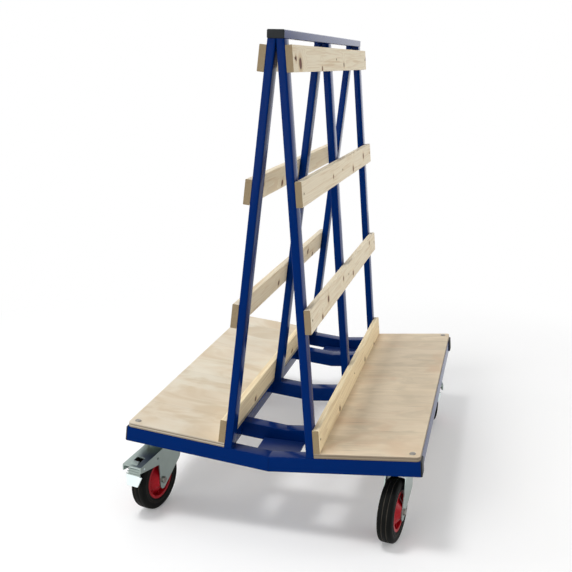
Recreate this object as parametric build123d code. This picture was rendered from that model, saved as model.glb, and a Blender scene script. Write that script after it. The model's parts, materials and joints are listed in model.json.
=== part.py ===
from build123d import *
import os
from math import atan2, cos, degrees, hypot, radians, sin, tan

# Frame: lengths run along Y, the two decks slope up and out from the centre line
FRAME_LENGTH = 1300.0
TILT = 5.5                # slope of the decks and lean of the legs, degrees
RAIL = 50.0               # square tube of the cross rails
FLAT_TUBE = 25.0          # narrow side of the flat tube, whose wide side equals RAIL
TUBE_WALL = 3.0
TUBE_EDGE = 2.5           # flat that stands for a tube's rounded corner
RAIL_REACH = 475.0        # cross rail, centre line to its outer end along the slope
LEG_REACH = 150.0         # centre line to a leg's outer face along the slope
BEARER_SETBACK = 215.0    # end of the frame to the near face of a bearer
CAP_FLANGE = 5.0
CAP_EDGE = 2.0
CAP_PLUG = 15.0           # how far a plastic cap reaches into its tube
CAP_FIT = 0.1             # play of a cap's plug in its tube
GUSSET_HALF = 70.0
GUSSET_THICK = 5.0
GUSSET_LIFT = 16.0        # top of a gusset plate above the lowest line of the rails

# Timber
PLY = 15.0
PLY_CORNER = 12.0
BATTEN_WIDE = 75.0
BATTEN_THICK = 20.0
BATTEN_EDGE = 1.5         # eased edge of the pine
TOP_BATTEN_DROP = 17.0    # outer top of a leg to the upper edge of the top batten, along the leg
BATTEN_NAMES = ("foot", "lower", "upper", "top")
SCREW_HEAD = 10.0
SCREW_SINK = 4.0          # depth of a screw head in its batten
SCREW_SIDES = 8
DECK_BOLT_HEAD = 20.0
DECK_BOLT_SIDES = 12
DECK_BOLT_TAPER = 45.0    # slope of a cup head's side, degrees
DECK_BOLT_RISE = 4.0
DECK_BOLT_NECK = 8.0      # square neck under the cup head
DECK_BOLT_TAIL = 10.0
DECK_BOLT_INSET = 25.0    # from the outer edge and from the end of the deck
HOLE_PLAY = 0.1           # radial play of a fastener in its hole

# Castors
CASTOR_SETBACK = 79.0     # swivel axis from the outer end of the cross rails
CASTOR_Y = 135.0          # swivel axis from the end of the frame
CASTOR_HEIGHT = 240.0     # floor to the top of the castor's plate
SEAT_PLATE = 6.0
SEAT_HALF = 60.0          # half width of a castor seat, across the trolley
SEAT_SETBACK = 40.0       # end of the frame to the near edge of a castor seat
TOP_PLATE = 5.0
TOP_PLATE_X = 110.0
TOP_PLATE_Y = 140.0
TOP_PLATE_CORNER = 10.0
BOLT_PITCH_X = 80.0
BOLT_PITCH_Y = 105.0
BOLT_HEX = 16.0           # across flats
BOLT_HEAD = 6.4
NUT_HIGH = 8.0
RACE = 80.0
RACE_DEEP = 8.0
RACE_GAP = 0.3            # running gap between the fixed and the turning half
CROWN = 86.0
CROWN_DEEP = 9.7
KINGPIN = 16.0
KINGPIN_HEX = 27.0
KINGPIN_HEAD_DEEP = 6.0
RUNNING_PLAY = 0.1        # radial play of a turning fit
TRAIL = 60.0              # swivel axis to the axle
FORK_WALL = 4.0
FORK_HALF = 35.0          # half of the fork's outer width
FORK_FRONT = 46.0         # swivel axis to the front edge of the fork's top
FORK_BACK = 60.0          # swivel axis to the rounded back of the fork
FORK_BACK_ROUND = 26.0
FORK_BACK_DROP = 52.0     # height of the closed back
FORK_LEG_FRONT = 15.0     # axle to the front edge of a leg at its tip
FORK_TIP = 15.0           # radius of a leg's round tip
FORK_TIP_DROP = 16.0      # middle of the round tip below the axle
HOOD_OVERHANG = 23.5      # tip of the braked fork's hood past the front of the tyre
HOOD_DROP = 22.0          # fall of the hood's top from the fork to its tip
HOOD_DEEP = 20.0          # side of the hood at its tip
NOTCH_REACH = 23.0        # axle to the notch between leg and hood
NOTCH_DROP = 52.0         # the notch below the fork's top
CHEEK_HOLE = 8.0          # eight sided hole in a braked fork's cheeks
CHEEK_HOLE_SIDES = 8
CHEEK_HOLE_REACH = 30.0   # axle to that hole
CHEEK_HOLE_DROP = 27.0
WINDOW_SETBACK = 13.0     # tip of the hood to the window in its top
WINDOW_LONG = 42.0
WINDOW_HALF = 14.0
AXLE = 12.0
AXLE_HEX = 19.0
AXLE_HEAD = 7.0

# Wheels
TYRE_CLEARANCE = 8.0      # tyre to the underside of the fork's top
TYRE_WIDE = 50.0
TYRE_CROWN = 36.0         # width of the flat part of the tread
RIM = 66.0                # radius of the red rim, under the tyre
RIM_DEEP = 9.0
RIM_WIDE = 44.0
TYRE_FIT = 0.05
HUB = 40.0
HUB_GAP = 0.3             # running gap between hub and fork
WEB = 8.0
RIBS = 8
RIB_THICK = 4.0
RIB_WIDE = 30.0

# Brake pedals, about a cross shaft near the tip of the hood
PEDAL_SETBACK = 21.0      # tip of the hood to the pedal's shaft
PEDAL_DROP = 33.0         # the shaft below the fork's top
PEDAL_SHAFT = 8.0
PEDAL_PLATE = 4.0
NECK_HALF = 20.0          # half width of the pedal's neck, above its tread
TREAD_HALF = 30.0         # half width of the tread at its upper edge
TREAD_END_HALF = 20.0
TREAD_TOP = (8.0, -29.0)  # upper edge of the tread, forward of and above the shaft
TREAD_END = (18.0, -60.0)
SHOE_GAP = 6.0            # least gap from the end of the shoe's arm to the tyre
SHOE_LEAD = 18.0          # angle of the arm ahead of the line from the shaft to the axle, degrees
SHOE_THICK = 6.0
SHOE_HALF = 15.0

# Castor name, side (left -1, right 1), end (front 0, rear 1), turn from straight, braked
CASTORS = (
    ("front_left", -1, 0, -13.0, True),
    ("front_right", 1, 0, -9.0, False),
    ("rear_left", -1, 1, 13.0, False),
    ("rear_right", 1, 1, 13.0, True),
)

# Heights and places that follow from the sizes above
SLOPE = tan(radians(TILT))
LEAN = radians(TILT)
CASTOR_X = RAIL_REACH - CASTOR_SETBACK
SEAT_TOP = CASTOR_HEIGHT + SEAT_PLATE
RAIL_FOOT = SEAT_TOP - (CASTOR_X - SEAT_HALF) * SLOPE
BAR_FOOT = RAIL_FOOT + (LEG_REACH / cos(LEAN) - RAIL / 2) / SLOPE
LEG_TOP = (BAR_FOOT - RAIL_FOOT - LEG_REACH * sin(LEAN)) / cos(LEAN)
DECK_TOP = RAIL + PLY
PLATE_FOOT = CASTOR_HEIGHT - TOP_PLATE
RACE_FOOT = PLATE_FOOT - RACE_DEEP
CROWN_TOP = RACE_FOOT - RACE_GAP
FORK_TOP = CROWN_TOP - CROWN_DEEP
FORK_BORE = FORK_HALF - FORK_WALL
WHEEL = FORK_TOP - FORK_WALL - TYRE_CLEARANCE
AXLE_HEIGHT = WHEEL / 2
HOOD_REACH = WHEEL / 2 + HOOD_OVERHANG
PEDAL_REACH = HOOD_REACH - PEDAL_SETBACK
PEDAL_HEIGHT = FORK_TOP - PEDAL_DROP - AXLE_HEIGHT
SHOE_ARM = hypot(PEDAL_REACH, PEDAL_HEIGHT) - WHEEL / 2 - SHOE_GAP
SHOE_ANGLE = 180 + degrees(atan2(PEDAL_HEIGHT, PEDAL_REACH)) + SHOE_LEAD
LARGE = 4 * FRAME_LENGTH
SIDE = Pos(0, 0, RAIL_FOOT) * Rot(0, -TILT, 0)
SIDES = (("left", -1), ("right", 1))
LOW = (Align.MIN, Align.MIN, Align.MIN)

# Near face of each cross rail, from the front; legs stand on the first, the middle and the last
CROSS_RAILS = {
    "front_rail": 0.0,
    "front_bearer": BEARER_SETBACK,
    "middle_bearer": (FRAME_LENGTH - RAIL) / 2,
    "rear_bearer": FRAME_LENGTH - BEARER_SETBACK - RAIL,
    "rear_rail": FRAME_LENGTH - RAIL,
}
LEG_PLACES = {
    "front_leg": CROSS_RAILS["front_rail"],
    "middle_leg": CROSS_RAILS["middle_bearer"],
    "rear_leg": CROSS_RAILS["rear_rail"],
}
TOP_BATTEN_FOOT = LEG_TOP - TOP_BATTEN_DROP - BATTEN_WIDE
BATTEN_PITCH = (TOP_BATTEN_FOOT - DECK_TOP) / (len(BATTEN_NAMES) - 1)
BATTEN_FEET = [DECK_TOP + BATTEN_PITCH * step for step in range(len(BATTEN_NAMES))]

nodes = {}


def put(name, *shapes):
    """Adds finished solids to the named node."""
    for shape in shapes:
        nodes.setdefault(name, []).extend(shape.solids())


def on_side(shape, side):
    """Moves a shape from the flat layout of the right deck to its tilted place on one side."""
    placed = SIDE * shape
    return placed if side > 0 else mirror(placed, about=Plane.YZ)


def put_both(name, shape):
    """Adds the right and the mirrored left copy of a tilted piece as two nodes."""
    for word, side in SIDES:
        put(f"{name}_{word}", on_side(shape, side))


def tube(origin, along, across, wide, high, length):
    """A hollow tube with eased corners that starts at origin and runs along its axis."""
    section = chamfer(Rectangle(wide, high).vertices(), TUBE_EDGE)
    section -= Rectangle(wide - 2 * TUBE_WALL, high - 2 * TUBE_WALL)
    return extrude(Plane(origin, x_dir=across, z_dir=along) * section, length)


def cap(wide, high):
    """A plastic tube cap: a flange with an eased rim at the tube's mouth and a plug that fills it."""
    flange = extrude(chamfer(Rectangle(wide, high).vertices(), TUBE_EDGE), CAP_FLANGE)
    flange = chamfer(flange.faces().sort_by(Axis.Z)[-1].edges(), CAP_EDGE)
    room = 2 * (TUBE_WALL + CAP_FIT)
    plug = extrude(Rectangle(wide - room, high - room), -CAP_PLUG)
    return flange + plug


def hexagon(flats, high):
    """A hexagon prism with two flats square to Y."""
    return extrude(RegularPolygon(flats / 2, 6, major_radius=False), high)


def drill(shape, tools):
    """Cuts each tool that reaches the shape out of it."""
    for tool in tools:
        shape = shape - tool
    return shape


def screw(play=0.0):
    """The sunk head of a wood screw, its flat top at height 0."""
    return extrude(RegularPolygon(SCREW_HEAD / 2 + play, SCREW_SIDES), -SCREW_SINK)


def deck_bolt(play=0.0):
    """A cup head bolt on height 0, its square neck pointing down; with play, the hole for the neck."""
    side = DECK_BOLT_NECK + 2 * play
    neck = extrude(Rectangle(side, side), -PLY - DECK_BOLT_TAIL)
    cup = RegularPolygon(DECK_BOLT_HEAD / 2, DECK_BOLT_SIDES)
    return neck if play else neck + extrude(cup, DECK_BOLT_RISE, taper=DECK_BOLT_TAPER)


# Places of the fasteners in the flat layout of the right deck
SCREW_PLACES = [
    Pos(LEG_REACH + BATTEN_THICK, near + RAIL / 2, foot + BATTEN_WIDE / 2) * Rot(0, 90, 0)
    for foot in BATTEN_FEET
    for near in LEG_PLACES.values()
]
DECK_BOLT_PLACES = [
    Pos(RAIL_REACH - DECK_BOLT_INSET, along, DECK_TOP)
    for along in (DECK_BOLT_INSET, FRAME_LENGTH - DECK_BOLT_INSET)
]
SCREW_HOLES = [place * screw(HOLE_PLAY) for place in SCREW_PLACES]
DECK_BOLT_HOLES = [place * deck_bolt(HOLE_PLAY) for place in DECK_BOLT_PLACES]


def cross_rails():
    """The mitred pairs of cross rails, the end rails a side rail longer than the bearers."""
    right_half = Box(LARGE, LARGE, LARGE, align=(Align.MIN, Align.CENTER, Align.CENTER))
    for name, near in CROSS_RAILS.items():
        at_end = name.endswith("rail")
        reach = RAIL_REACH if at_end else RAIL_REACH - FLAT_TUBE
        start = (-RAIL, near + RAIL / 2, RAIL / 2)
        bar = tube(start, (1, 0, 0), (0, 1, 0), RAIL, RAIL, reach + RAIL)
        if at_end:
            bar = drill(bar, DECK_BOLT_HOLES)
        placed = (SIDE * bar) & right_half
        put(f"{name}_right", placed)
        put(f"{name}_left", mirror(placed, about=Plane.YZ))


def long_rails():
    """The side rails under the deck's outer edge and the deck rails under its inner edge."""
    outer = tube((RAIL_REACH - FLAT_TUBE / 2, RAIL, RAIL / 2), (0, 1, 0), (1, 0, 0),
                 FLAT_TUBE, RAIL, FRAME_LENGTH - 2 * RAIL)
    put_both("side_rail", outer)
    nears = list(CROSS_RAILS.values())
    for near, following in zip(nears, nears[1:]):
        start = (LEG_REACH + FLAT_TUBE / 2, near + RAIL, RAIL / 2)
        put_both("deck_rail", tube(start, (0, 1, 0), (1, 0, 0), FLAT_TUBE, RAIL, following - near - RAIL))


def legs():
    """Three pairs of legs, square on the cross rails and cut to meet under the top bar."""
    under_bar = Pos(0, 0, BAR_FOOT) * Box(LARGE, LARGE, LARGE, align=(Align.MIN, Align.CENTER, Align.MAX))
    for name, near in LEG_PLACES.items():
        start = (LEG_REACH - FLAT_TUBE / 2, near + RAIL / 2, RAIL)
        leg = tube(start, (0, 0, 1), (1, 0, 0), FLAT_TUBE, RAIL, BAR_FOOT)
        placed = (SIDE * leg) & under_bar
        put(f"{name}_right", placed)
        put(f"{name}_left", mirror(placed, about=Plane.YZ))


def top_bar():
    """The flat tube along the ridge and its two caps."""
    middle = BAR_FOOT + FLAT_TUBE / 2
    put("top_bar", tube((0, 0, middle), (0, 1, 0), (1, 0, 0), RAIL, FLAT_TUBE, FRAME_LENGTH))
    for along, outward in ((0.0, -1), (FRAME_LENGTH, 1)):
        mouth = Plane((0, along, middle), x_dir=(1, 0, 0), z_dir=(0, outward, 0))
        put("top_bar_caps", mouth.location * cap(RAIL, FLAT_TUBE))


def end_caps():
    """The caps in the outer ends of the front and rear rails."""
    for near in (CROSS_RAILS["front_rail"], CROSS_RAILS["rear_rail"]):
        mouth = Plane((RAIL_REACH, near + RAIL / 2, RAIL / 2), x_dir=(0, 1, 0), z_dir=(1, 0, 0))
        for _, side in SIDES:
            put("rail_end_caps", on_side(mouth.location * cap(RAIL, RAIL), side))


def gusset_plates():
    """The level plates that tie each end rail to its bearer across the centre line."""
    deep = BEARER_SETBACK - RAIL
    foot = RAIL_FOOT + GUSSET_LIFT - GUSSET_THICK
    plate = Box(2 * GUSSET_HALF, deep, GUSSET_THICK, align=(Align.CENTER, Align.MIN, Align.MIN))
    put("front_gusset_plate", Pos(0, RAIL, foot) * plate)
    put("rear_gusset_plate", Pos(0, FRAME_LENGTH - BEARER_SETBACK, foot) * plate)


def decks():
    """The two plywood decks, outer corners rounded, with their corner bolts."""
    sheet = Rectangle(RAIL_REACH - LEG_REACH, FRAME_LENGTH, align=(Align.MIN, Align.MIN))
    sheet = fillet(sheet.vertices().group_by(Axis.X)[-1], PLY_CORNER)
    deck = Pos(LEG_REACH, 0, RAIL) * extrude(sheet, PLY)
    put_both("deck", drill(deck, DECK_BOLT_HOLES))
    for place in DECK_BOLT_PLACES:
        for _, side in SIDES:
            put("deck_bolts", on_side(place * deck_bolt(), side))


def battens():
    """Four pine battens a side, screwed to the outer faces of the legs."""
    for name, foot in zip(BATTEN_NAMES, BATTEN_FEET):
        section = chamfer(Rectangle(BATTEN_THICK, BATTEN_WIDE).vertices(), BATTEN_EDGE)
        end = Plane((LEG_REACH + BATTEN_THICK / 2, 0, foot + BATTEN_WIDE / 2), x_dir=(1, 0, 0), z_dir=(0, 1, 0))
        batten = drill(extrude(end * section, FRAME_LENGTH), SCREW_HOLES)
        for word, side in SIDES:
            put(f"{name}_batten_{word}", on_side(batten, side))
    for place in SCREW_PLACES:
        for _, side in SIDES:
            put("batten_screws", on_side(place * screw(), side))


def bolt_places():
    """The four bolt centres of a castor plate, about the swivel axis."""
    return [
        Pos(BOLT_PITCH_X / 2 * across, BOLT_PITCH_Y / 2 * along, 0)
        for across in (-1, 1)
        for along in (-1, 1)
    ]


def castor_seat():
    """A level plate under two cross rails, with tapered packers that meet the sloping rails."""
    inner = CASTOR_X - SEAT_HALF
    outer = CASTOR_X + SEAT_HALF
    profile = Polyline(
        (inner, CASTOR_HEIGHT), (outer, CASTOR_HEIGHT), (outer, RAIL_FOOT + outer * SLOPE), (inner, SEAT_TOP),
        close=True,
    )
    wedge = extrude(Plane.XZ * make_face(profile), -(BEARER_SETBACK + RAIL - SEAT_SETBACK))
    seat = Pos(0, SEAT_SETBACK, 0) * wedge
    between = Pos(0, RAIL, SEAT_TOP) * Box(LARGE, BEARER_SETBACK - RAIL, LARGE, align=LOW)
    return seat - between


def top_plate():
    """The castor's bolted plate with the fixed half of its ball race."""
    sheet = chamfer(Rectangle(TOP_PLATE_X, TOP_PLATE_Y).vertices(), TOP_PLATE_CORNER)
    race = Cone(RACE / 2 - RACE_DEEP / 4, RACE / 2, RACE_DEEP, align=(Align.CENTER, Align.CENTER, Align.MAX))
    return Pos(0, 0, PLATE_FOOT) * (extrude(sheet, TOP_PLATE) + race)


def kingpin():
    """The pin that hangs the fork from the ball race, its head inside the fork."""
    head_top = FORK_TOP - FORK_WALL - RACE_GAP
    shaft = Cylinder(KINGPIN / 2, RACE_FOOT - head_top, align=(Align.CENTER, Align.CENTER, Align.MIN))
    return Pos(0, 0, head_top) * (shaft + hexagon(KINGPIN_HEX, -KINGPIN_HEAD_DEEP))


def castor_bolt():
    """The head of a castor bolt, against the underside of the top plate."""
    return Pos(0, 0, PLATE_FOOT) * hexagon(BOLT_HEX, -BOLT_HEAD)


def castor_nut():
    """The nut of a castor bolt, on the seat."""
    return Pos(0, 0, SEAT_TOP) * hexagon(BOLT_HEX, NUT_HIGH)


def fork_side(braked):
    """Side outline of a fork, X forward from the swivel axis and Y up from the floor."""
    leg_front = TRAIL + FORK_LEG_FRONT
    tip = (leg_front - FORK_TIP, AXLE_HEIGHT - FORK_TIP_DROP)
    back_tip = (tip[0] - FORK_TIP * sin(radians(45)), tip[1] - FORK_TIP * cos(radians(45)))
    round_tip = ThreePointArc((leg_front, tip[1]), (tip[0], tip[1] - FORK_TIP), back_tip)
    hood = [
        (TRAIL + HOOD_REACH, FORK_TOP - HOOD_DROP),
        (TRAIL + HOOD_REACH, FORK_TOP - HOOD_DROP - HOOD_DEEP),
        (TRAIL + NOTCH_REACH, FORK_TOP - NOTCH_DROP),
    ]
    front = Polyline((FORK_FRONT, FORK_TOP), *(hood if braked else []), (leg_front, tip[1]))
    back = Polyline(
        back_tip, (-FORK_BACK, FORK_TOP - FORK_BACK_DROP), (-FORK_BACK, FORK_TOP), (FORK_FRONT, FORK_TOP),
    )
    return make_face([front, round_tip, back])


def fork_room(drop):
    """The space inside a fork, under its top and between its cheeks, open to the front."""
    under = FORK_TOP - FORK_WALL
    front = TRAIL + HOOD_REACH
    side = make_face(Polyline(
        (-FORK_BACK + FORK_WALL, 0), (-FORK_BACK + FORK_WALL, under), (FORK_FRONT, under),
        (front, under - drop), (front + LARGE, under - drop), (front + LARGE, 0), close=True,
    ))
    room = extrude(Plane.XZ * side, FORK_BORE, both=True)
    back = room.edges().filter_by(Axis.Z).group_by(Axis.X)[0]
    return fillet(back, FORK_BACK_ROUND - FORK_WALL)


def across(section, half):
    """A bar of the given section across a castor, about its middle plane."""
    return Rot(90, 0, 0) * extrude(section, half, both=True)


def cross_hole(reach, height, section):
    """A cut across the castor, through both cheeks of its fork."""
    return Pos(TRAIL + reach, 0, height) * across(section, 2 * FORK_HALF)


def fork(braked):
    """A pressed steel fork: two cheeks joined by a rounded back and a top with a round crown."""
    blank = extrude(Plane.XZ * fork_side(braked), FORK_HALF, both=True)
    blank = fillet(blank.edges().filter_by(Axis.Z).group_by(Axis.X)[0], FORK_BACK_ROUND)
    shell = blank - fork_room(HOOD_DROP if braked else 0.0)
    crown = Cone(CROWN / 2, CROWN / 2 - CROWN_DEEP / 3, CROWN_DEEP, align=(Align.CENTER, Align.CENTER, Align.MIN))
    shell += Pos(0, 0, FORK_TOP) * crown
    shell -= Pos(0, 0, FORK_TOP) * Cylinder(KINGPIN / 2 + RUNNING_PLAY, 4 * CROWN_DEEP)
    shell -= cross_hole(0, AXLE_HEIGHT, Circle(AXLE / 2 + HOLE_PLAY))
    if braked:
        window = Box(WINDOW_LONG, 2 * WINDOW_HALF, LARGE, align=(Align.MAX, Align.CENTER, Align.MIN))
        shell -= Pos(TRAIL + HOOD_REACH - WINDOW_SETBACK, 0, FORK_TOP - PEDAL_DROP) * window
        shell -= cross_hole(PEDAL_REACH, FORK_TOP - PEDAL_DROP, Circle(PEDAL_SHAFT / 2 + RUNNING_PLAY))
        plain_hole = RegularPolygon(CHEEK_HOLE / 2, CHEEK_HOLE_SIDES)
        shell -= cross_hole(CHEEK_HOLE_REACH, FORK_TOP - CHEEK_HOLE_DROP, plain_hole)
    return shell


def axle_bolt():
    """The wheel's axle, a bolt across the fork with its head and nut outside the cheeks."""
    shaft = across(Circle(AXLE / 2), FORK_HALF + AXLE_HEAD)
    head = Rot(90, 0, 0) * (Pos(0, 0, FORK_HALF) * hexagon(AXLE_HEX, AXLE_HEAD))
    return Pos(TRAIL, 0, AXLE_HEIGHT) * (shaft + head + mirror(head, about=Plane.XZ))


def wheel_turned(outline):
    """Turns an outline of (offset along the axle, radius) points about the wheel's axle."""
    return Pos(TRAIL, 0, AXLE_HEIGHT) * revolve(Plane.YZ * outline, Axis.Y)


def wheel_centre():
    """The moulded wheel centre: hub, web and rim in one, with ribs on both faces."""
    hub_half = FORK_BORE - HUB_GAP
    floor = RIM - RIM_DEEP
    half = [
        (hub_half, AXLE / 2 + RUNNING_PLAY), (hub_half, HUB / 2), (WEB / 2, floor),
        (RIM_WIDE / 2, floor), (RIM_WIDE / 2, RIM),
    ]
    other = [(-across, radius) for across, radius in reversed(half)]
    body = wheel_turned(make_face(Polyline(*half, *other, close=True)))
    rib = Pos((HUB / 2 + floor) / 2, 0, 0) * Box(floor - HUB / 2 + RIM_DEEP, RIB_WIDE, RIB_THICK)
    for step in range(RIBS):
        body += Pos(TRAIL, 0, AXLE_HEIGHT) * Rot(0, 360 / RIBS * step, 0) * rib
    return body


def tyre():
    """A solid rubber tyre with sloping shoulders."""
    edge = WHEEL / 2
    seat = RIM + TYRE_FIT
    shoulder = edge - (edge - seat) / 4
    half = [(RIM_WIDE / 2, seat), (TYRE_WIDE / 2, shoulder), (TYRE_CROWN / 2, edge)]
    other = [(-across, radius) for across, radius in reversed(half)]
    return wheel_turned(make_face(Polyline(*half, *other, close=True)))


def bar_between(start, end, thick, half):
    """A flat bar across the castor from one side point to another."""
    middle = (Vector(*start) + Vector(*end)) / 2
    run = Vector(*end) - Vector(*start)
    slope = degrees(atan2(run.Y, run.X))
    strip = Rectangle(run.length + thick, thick, rotation=slope)
    return extrude(Plane.XZ * (Pos(middle.X, middle.Y) * strip), half, both=True)


def tread():
    """The pedal's plate for the foot, narrower towards its lower edge."""
    top = Vector(TREAD_TOP[0], 0, TREAD_TOP[1])
    run = Vector(TREAD_END[0], 0, TREAD_END[1]) - top
    face = Plane(top, x_dir=(0, 1, 0), z_dir=Vector(0, 1, 0).cross(run))
    outline = Polyline(
        (-TREAD_HALF, 0), (TREAD_HALF, 0), (TREAD_END_HALF, run.length), (-TREAD_END_HALF, run.length), close=True,
    )
    return extrude(face * make_face(outline), PEDAL_PLATE / 2, both=True)


def brake_pedal():
    """A pedal on its cross shaft, with a tread in front and a shoe that swings at the tyre."""
    shoe_end = (SHOE_ARM * cos(radians(SHOE_ANGLE)), SHOE_ARM * sin(radians(SHOE_ANGLE)))
    pedal = across(Circle(PEDAL_SHAFT / 2), FORK_HALF)
    pedal += bar_between((0, 0), TREAD_TOP, PEDAL_PLATE, NECK_HALF)
    pedal += tread()
    pedal += bar_between((0, 0), shoe_end, SHOE_THICK, SHOE_HALF)
    return Pos(TRAIL + PEDAL_REACH, 0, FORK_TOP - PEDAL_DROP) * pedal


def castor_axis(side, end):
    """Where a castor's swivel axis meets the floor."""
    return side * CASTOR_X, FRAME_LENGTH - CASTOR_Y if end else CASTOR_Y


def castor_heading(turn):
    """Direction in which a wheel trails from its swivel axis, degrees about Z."""
    return turn - 90.0


def castors():
    """Four castors: fixed plate, pin and fasteners, then the turning fork, axle and wheel."""
    seat = castor_seat()
    for name, side, end, turn, braked in CASTORS:
        ended = mirror(seat, about=Plane.XZ.offset(-FRAME_LENGTH / 2)) if end else seat
        put("castor_seats", ended if side > 0 else mirror(ended, about=Plane.YZ))
        foot = Pos(*castor_axis(side, end), 0)
        put("castor_top_plates", foot * top_plate())
        put("castor_kingpins", foot * kingpin())
        for place in bolt_places():
            put("castor_bolts", foot * place * castor_bolt())
            put("castor_nuts", foot * place * castor_nut())
        turned = foot * Rot(0, 0, castor_heading(turn))
        put(f"{name}_fork", turned * fork(braked))
        put(f"{name}_axle_bolt", turned * axle_bolt())
        put(f"{name}_wheel_centre", turned * wheel_centre())
        put(f"{name}_tyre", turned * tyre())
        if braked:
            put(f"{name}_brake_pedal", turned * brake_pedal())


def overall_box():
    """The box round every solid, before the origin is set."""
    return Compound([solid for solids in nodes.values() for solid in solids]).bounding_box()


cross_rails()
long_rails()
legs()
top_bar()
end_caps()
gusset_plates()
decks()
battens()
castors()

# The origin is the middle of the overall box, on the floor
BOX = overall_box()
TO_ORIGIN = (-(BOX.min.X + BOX.max.X) / 2, -(BOX.min.Y + BOX.max.Y) / 2, -BOX.min.Z)

os.makedirs("parts", exist_ok=True)
for name, solids in nodes.items():
    export_step(Pos(*TO_ORIGIN) * Compound(solids), os.path.join("parts", f"{name}.step"))
print(len(nodes), "nodes, box", BOX.size, "moved by", TO_ORIGIN)
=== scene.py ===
import json
from functools import cache, partial
from math import cos, pi, radians, sin

import bmesh
import bpy
from bpy.props import FloatProperty, FloatVectorProperty, PointerProperty
from mathutils import Matrix, Vector

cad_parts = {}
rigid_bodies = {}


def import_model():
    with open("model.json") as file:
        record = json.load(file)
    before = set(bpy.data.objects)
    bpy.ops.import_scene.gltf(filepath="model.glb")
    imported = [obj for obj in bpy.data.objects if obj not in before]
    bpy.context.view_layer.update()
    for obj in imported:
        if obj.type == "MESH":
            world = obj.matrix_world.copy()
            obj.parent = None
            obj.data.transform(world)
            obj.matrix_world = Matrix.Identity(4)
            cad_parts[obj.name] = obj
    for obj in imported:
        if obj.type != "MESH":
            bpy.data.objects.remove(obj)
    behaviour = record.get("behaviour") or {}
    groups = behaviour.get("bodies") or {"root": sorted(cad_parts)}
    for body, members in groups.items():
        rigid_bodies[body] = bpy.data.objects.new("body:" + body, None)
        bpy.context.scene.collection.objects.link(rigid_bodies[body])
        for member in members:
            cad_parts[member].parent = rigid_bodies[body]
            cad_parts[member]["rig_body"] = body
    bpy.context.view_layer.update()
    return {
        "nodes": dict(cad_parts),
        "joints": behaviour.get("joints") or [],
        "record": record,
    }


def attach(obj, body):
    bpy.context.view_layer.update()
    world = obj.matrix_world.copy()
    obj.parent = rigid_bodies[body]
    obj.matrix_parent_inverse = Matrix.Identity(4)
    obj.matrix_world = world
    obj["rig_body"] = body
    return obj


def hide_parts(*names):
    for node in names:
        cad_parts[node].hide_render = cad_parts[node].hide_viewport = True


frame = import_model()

bl_info = {
    "name": "A-frame glass trolley",
    "version": (1, 0, 0),
    "blender": (4, 5, 0),
    "location": "3D View > Sidebar > Trolley",
    "description": "Finishes the packed frame of a glass trolley: paint, timber, castors and a studio stage",
    "category": "Object",
}

MM = 0.001
ALONG = Vector((0, 1, 0))
UP = Vector((0, 0, 1))
SIDES = ("left", "right")
CASTORS = ("front_left", "front_right", "rear_left", "rear_right")
BRAKED = ("front_left", "rear_right")
JOINTS = {joint["name"]: joint for joint in frame["joints"]}
MOUNTS = {mount["name"]: mount for mount in frame["record"]["mounts"]}
# The battens' outer faces look out and a little up; the decks slope by the same angle
OUTWARD = {side: Vector(MOUNTS[f"{side}_batten_face"]["axis"]) for side in SIDES}
UPWARD = {side: Vector(MOUNTS[f"{side}_deck_top"]["axis"]) for side in SIDES}

TUBES = (
    [f"{name}_{side}" for side in SIDES for name in (
        "front_rail", "front_bearer", "middle_bearer", "rear_bearer", "rear_rail",
        "side_rail", "deck_rail", "front_leg", "middle_leg", "rear_leg")]
    + ["top_bar", "front_gusset_plate", "rear_gusset_plate", "castor_seats"]
)
BATTENS = [f"{name}_batten_{side}" for side in SIDES for name in ("foot", "lower", "upper", "top")]

# Knots of the battens: along and up from the middle of the upper batten's mount, and radius, in millimetres
KNOTS = (
    (-235, 366, 17), (465, 362, 8), (74, 350, 8), (973, 384, 8), (-288, 380, 8), (540, -20, 11),
    (788, 4, 11), (150, -4, 7), (-157, -408, 9), (-54, -376, 11), (220, -372, 8), (416, -396, 9),
    (825, -360, 8), (979, -390, 8), (19, -782, 9), (568, -784, 9), (811, -796, 8),
)
# Noises in the pine, drawn out along the batten: width and length in millimetres, and detail
PINE_NOISES = {"rings": (60, 2600, 1.5), "fibres": (2, 80, 3.0), "resin": (8, 250, 3.0)}
# Each deck's face veneer: the clouds' length in millimetres and their shift in lengths, then the shares of
# clouds, blush, streaks and pores
VENEER = {
    "left": (230, (1.7, 0.4, 0.0), 0.85, 0.2, 0.2, 0.12),
    "right": (130, (11.8, 3.9, 0.0), 0.6, 0.75, 0.4, 0.6),
}

# Width of the camera's sensor in millimetres
SENSOR = 36
# Softboxes, whose names start with their setting: place, height aimed at over the origin, and width
LAMPS = {
    "key_softbox": ((-1.65, -1.6, 6.1), 0.4, 1.45),
    "front_panel": ((-1.4, -4.4, 1.5), 0.3, 2.2),
    "side_panel": ((3.3, 0.3, 0.95), 0.6, 1.7),
    "left_panel": ((-3.4, -0.6, 1.7), 0.2, 2.0),
    "rear_panel": ((-0.6, 4.2, 2.0), 0.4, 3.8),
}
PAPER = "#F2F2F2"
# The floor's half width in metres, where it fades to white and from which middle, and its own faint glow
FLOOR_REACH = 14.0
FLOOR_FADE = (1.25, 2.3)
FLOOR_MIDDLE = (0.0, 0.4, 0.0)
FLOOR_GLOW = 0.14


def linear(code):
    """Linear colour of an sRGB hex code."""
    parts = [int(code[i:i + 2], 16) / 255 for i in (1, 3, 5)]
    return tuple(p / 12.92 if p <= 0.04045 else ((p + 0.055) / 1.055) ** 2.4 for p in parts)


def colour(name, description, code):
    """A colour on the panel."""
    return FloatVectorProperty(name=name, description=description, subtype="COLOR", size=3, min=0, max=1,
                               default=linear(code))


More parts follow.
